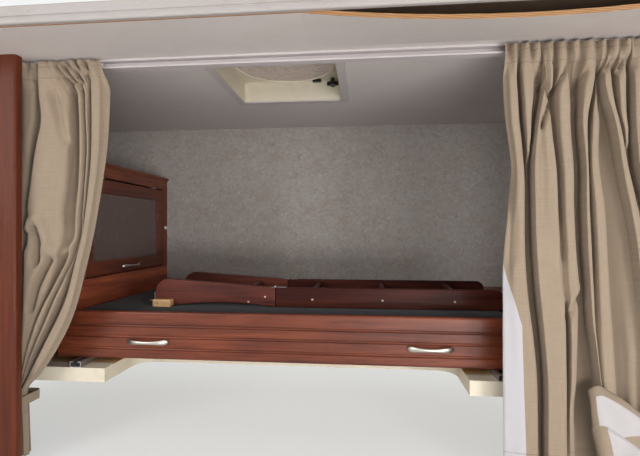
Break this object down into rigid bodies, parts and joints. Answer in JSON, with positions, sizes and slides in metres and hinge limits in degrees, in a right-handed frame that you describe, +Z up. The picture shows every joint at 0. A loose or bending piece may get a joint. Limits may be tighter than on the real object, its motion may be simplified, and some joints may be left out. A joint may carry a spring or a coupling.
{
  "type": "motorhome over-cab berth section",
  "caption": "Over-cab sleeping berth of a motorhome: nose, roof with powered vent, slide-out bed, ladder, flap cabinet and curtains.",
  "frame": {"origin": "on the underside of the deck, on the vehicle's centreline, where the section seats on the cab roof", "axes": "+X to the right looking forward, +Y forward to the nose, +Z up"},
  "size_m": [2.446, 1.203, 1.271],
  "materials": {
    "shell_gelcoat": "gloss gelcoat",
    "ceiling_board": "vinyl-faced board",
    "wallpaper_board": "mottled wallpaper on ply",
    "white_moulding": "satin extrusion",
    "aluminium_trim": "mill finish",
    "amber_lens": "clear gloss",
    "deck_ply": "plywood",
    "cherry_wood": "gloss varnish",
    "raw_wood": "sawn",
    "vent_cream": "moulded",
    "vent_lid_plastic": "moulded",
    "screen_mesh": "woven mesh",
    "fan_grey": "moulded",
    "motor_metal": "satin paint",
    "black_plastic": "moulded",
    "satin_nickel": "satin",
    "white_button": "gloss",
    "smoked_panel": "smoked, reflective",
    "mattress_cover": "woven cover",
    "curtain_linen": "linen weave"
  },
  "bodies": {
    "root": {"side_wall_left": "shell_gelcoat", "side_wall_right": "shell_gelcoat", "roof_panel": "shell_gelcoat", "nose_cap": "shell_gelcoat", "ceiling_lining": "ceiling_board", "front_lining": "wallpaper_board", "seam_cover": "white_moulding", "curtain_track": "white_moulding", "roof_edge_trims": "aluminium_trim", "nose_joint_cover": "aluminium_trim", "runners": "aluminium_trim", "marker_lamps": "amber_lens", "floor_deck": "deck_ply", "partition_left": "cherry_wood", "partition_right": "cherry_wood", "cabinet_base": "cherry_wood", "cabinet_carcass": "cherry_wood", "cabinet_crown": "cherry_wood", "cabinet_stile": "cherry_wood", "right_locker": "cherry_wood", "vent_frame": "vent_cream", "vent_base": "vent_cream", "vent_screen": "screen_mesh", "fan_bracket": "motor_metal", "vent_crank": "black_plastic", "fixed_leaves": "satin_nickel", "cabinet_lock": "white_button", "curtain_left": "curtain_linen", "curtain_right": "curtain_linen", "curtain_tieback": "curtain_linen"},
    "bed": {"bed_platform": "deck_ply", "bed_fascia": "cherry_wood", "bed_pull_left": "satin_nickel", "bed_pull_right": "satin_nickel", "mattress": "mattress_cover", "ladder_main": "cherry_wood", "ladder_top": "cherry_wood", "ladder_hooks": "satin_nickel", "ladder_block": "raw_wood"},
    "cabinet_door": {"door_frame": "cherry_wood", "door_panel": "smoked_panel", "door_pull": "satin_nickel", "door_leaves": "satin_nickel"},
    "vent_lid": {"vent_lid": "vent_lid_plastic"},
    "fan": {"fan_rotor": "fan_grey"}
  },
  "joints": [
    {"name": "bed_slide", "type": "slide", "parent": "root", "child": "bed", "axis": [0, -1, 0], "range_m": [0, 0.45], "deforming": ["curtain_left", "curtain_right"]},
    {"name": "cabinet_door_hinge", "type": "hinge", "parent": "root", "child": "cabinet_door", "pos_m": [-0.692, -0.039, 0.622], "axis": [0, -1, 0], "range_deg": [0, 90]},
    {"name": "vent_lid_hinge", "type": "hinge", "parent": "root", "child": "vent_lid", "pos_m": [-0.025, -0.0875, 1.0105], "axis": [-1, 0, 0], "range_deg": [0, 75]},
    {"name": "fan_spin", "type": "hinge", "parent": "root", "child": "fan", "pos_m": [-0.025, -0.3, 0.996], "axis": [0, 0, 1], "continuous": true}
  ]
}
